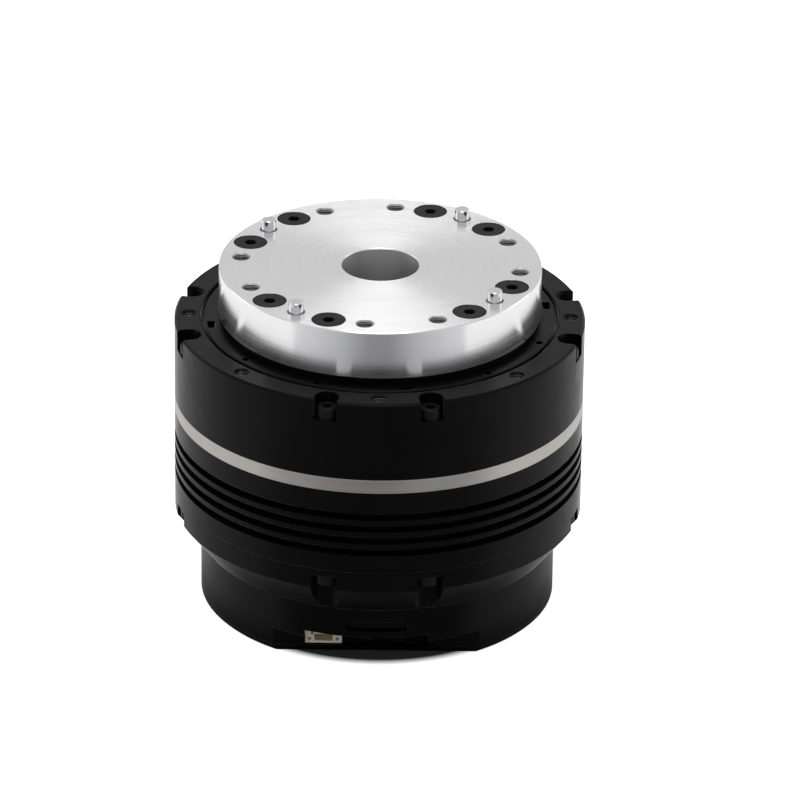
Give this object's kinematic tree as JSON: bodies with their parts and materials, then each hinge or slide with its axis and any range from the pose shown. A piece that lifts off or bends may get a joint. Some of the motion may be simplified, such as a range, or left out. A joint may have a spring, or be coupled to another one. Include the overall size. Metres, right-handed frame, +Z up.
{
  "type": "robot joint actuator",
  "caption": "Round robot joint actuator: geared brushless motor in a finned black body, with a turning aluminium output flange on top and connectors in the rear cover.",
  "frame": {"origin": "centre of the flat face of the rear lid that the actuator rests on", "axes": "+Z up along the output axis, towards the output flange; -Y towards the connectors; +X to the right, seen from the connectors"},
  "size_m": [0.112, 0.112, 0.1005],
  "materials": {
    "black_anodised": "satin black anodised aluminium",
    "turned_aluminium": "fine turned, bare",
    "inner_aluminium": "machined, bare",
    "band_steel": "turned, warm grey",
    "gear_steel": "ground and oiled",
    "bearing_steel": "ground",
    "pin_steel": "ground",
    "black_screw": "black oxide",
    "ivory_plastic": "moulded",
    "black_plastic": "moulded",
    "smoked_plastic": "smooth, dark",
    "board": "solder resist",
    "chip": "moulded epoxy",
    "capacitor": "can",
    "contact": "gold plated",
    "rubber": "moulded",
    "lead": "silicone insulation",
    "lamination": "varnished laminations",
    "copper": "enamelled copper wire",
    "magnet": "nickel plated",
    "bronze": "sintered",
    "cage": "moulded polyamide"
  },
  "bodies": {
    "housing": {"rear_lid": "black_anodised", "lid_screws": "black_screw", "rear_cover": "black_anodised", "cover_screws": "black_screw", "indicator_window": "smoked_plastic", "driver_board": "board", "board_screws": "black_screw", "power_transistors": "chip", "capacitors": "capacitor", "board_chips": "chip", "signal_connector": "ivory_plastic", "signal_pins": "contact", "power_connector": "black_plastic", "power_contacts": "contact", "end_bell": "black_anodised", "end_bell_screws": "black_screw", "phase_leads": "lead", "lead_grommets": "rubber", "rear_bearing_outer_race": "bearing_steel", "front_bearing_outer_race": "bearing_steel", "preload_washer": "pin_steel", "motor_housing": "black_anodised", "stator_core": "lamination", "stator_coils": "copper", "ring_gear": "band_steel", "output_outer_race": "bearing_steel", "output_seal": "rubber", "front_housing": "black_anodised", "front_screws": "black_screw"},
    "output": {"output_hub": "black_anodised", "output_flange": "turned_aluminium", "flange_screws": "black_screw", "dowel_pins": "pin_steel", "bearing_circlip": "pin_steel", "output_inner_race": "bearing_steel", "rear_carrier": "gear_steel", "carrier_screws": "black_screw", "planet_pins": "pin_steel", "thrust_washers": "bronze"},
    "rotor": {"rotor_shaft": "gear_steel", "rotor_hub": "inner_aluminium", "rotor_yoke": "gear_steel", "rotor_magnets": "magnet", "sun_gear": "gear_steel", "magnet_holder": "inner_aluminium", "encoder_magnet": "magnet", "rear_bearing_inner_race": "bearing_steel", "front_bearing_inner_race": "bearing_steel"},
    "rotor_balls": {"rear_bearing_balls": "bearing_steel", "rear_bearing_cage": "cage", "front_bearing_balls": "bearing_steel", "front_bearing_cage": "cage"},
    "output_roller_set": {"output_rollers": "bearing_steel", "output_cage": "cage"},
    "planet_1": {"planet_gear_1": "gear_steel", "planet_bush_1": "bronze"},
    "planet_2": {"planet_gear_2": "gear_steel", "planet_bush_2": "bronze"},
    "planet_3": {"planet_gear_3": "gear_steel", "planet_bush_3": "bronze"}
  },
  "joints": [
    {"name": "output_spin", "type": "hinge", "parent": "housing", "child": "output", "pos_m": [0, 0, 0.0839], "axis": [0, 0, 1], "continuous": true},
    {"name": "rotor_spin", "type": "hinge", "parent": "housing", "child": "rotor", "pos_m": [0, 0, 0.045], "axis": [0, 0, 1], "continuous": true},
    {"name": "rotor_balls_spin", "type": "hinge", "parent": "housing", "child": "rotor_balls", "pos_m": [0, 0, 0.0515], "axis": [0, 0, 1], "continuous": true},
    {"name": "output_rollers_spin", "type": "hinge", "parent": "housing", "child": "output_roller_set", "pos_m": [0, 0, 0.0761], "axis": [0, 0, 1], "continuous": true},
    {"name": "planet_1_spin", "type": "hinge", "parent": "output", "child": "planet_1", "pos_m": [0.0237, 0.00375, 0.0645], "axis": [0, 0, 1], "continuous": true},
    {"name": "planet_2_spin", "type": "hinge", "parent": "output", "child": "planet_2", "pos_m": [-0.0151, 0.01865, 0.0645], "axis": [0, 0, 1], "continuous": true},
    {"name": "planet_3_spin", "type": "hinge", "parent": "output", "child": "planet_3", "pos_m": [-0.0086, -0.02241, 0.0645], "axis": [0, 0, 1], "continuous": true}
  ],
  "couplings": [
    {"joint": "rotor_spin", "follows": "output_spin", "ratio": 8},
    {"joint": "rotor_balls_spin", "follows": "output_spin", "ratio": 3.4256},
    {"joint": "output_rollers_spin", "follows": "output_spin", "ratio": 0.48821},
    {"joint": "planet_1_spin", "follows": "output_spin", "ratio": -2.3333},
    {"joint": "planet_2_spin", "follows": "output_spin", "ratio": -2.3333},
    {"joint": "planet_3_spin", "follows": "output_spin", "ratio": -2.3333}
  ]
}
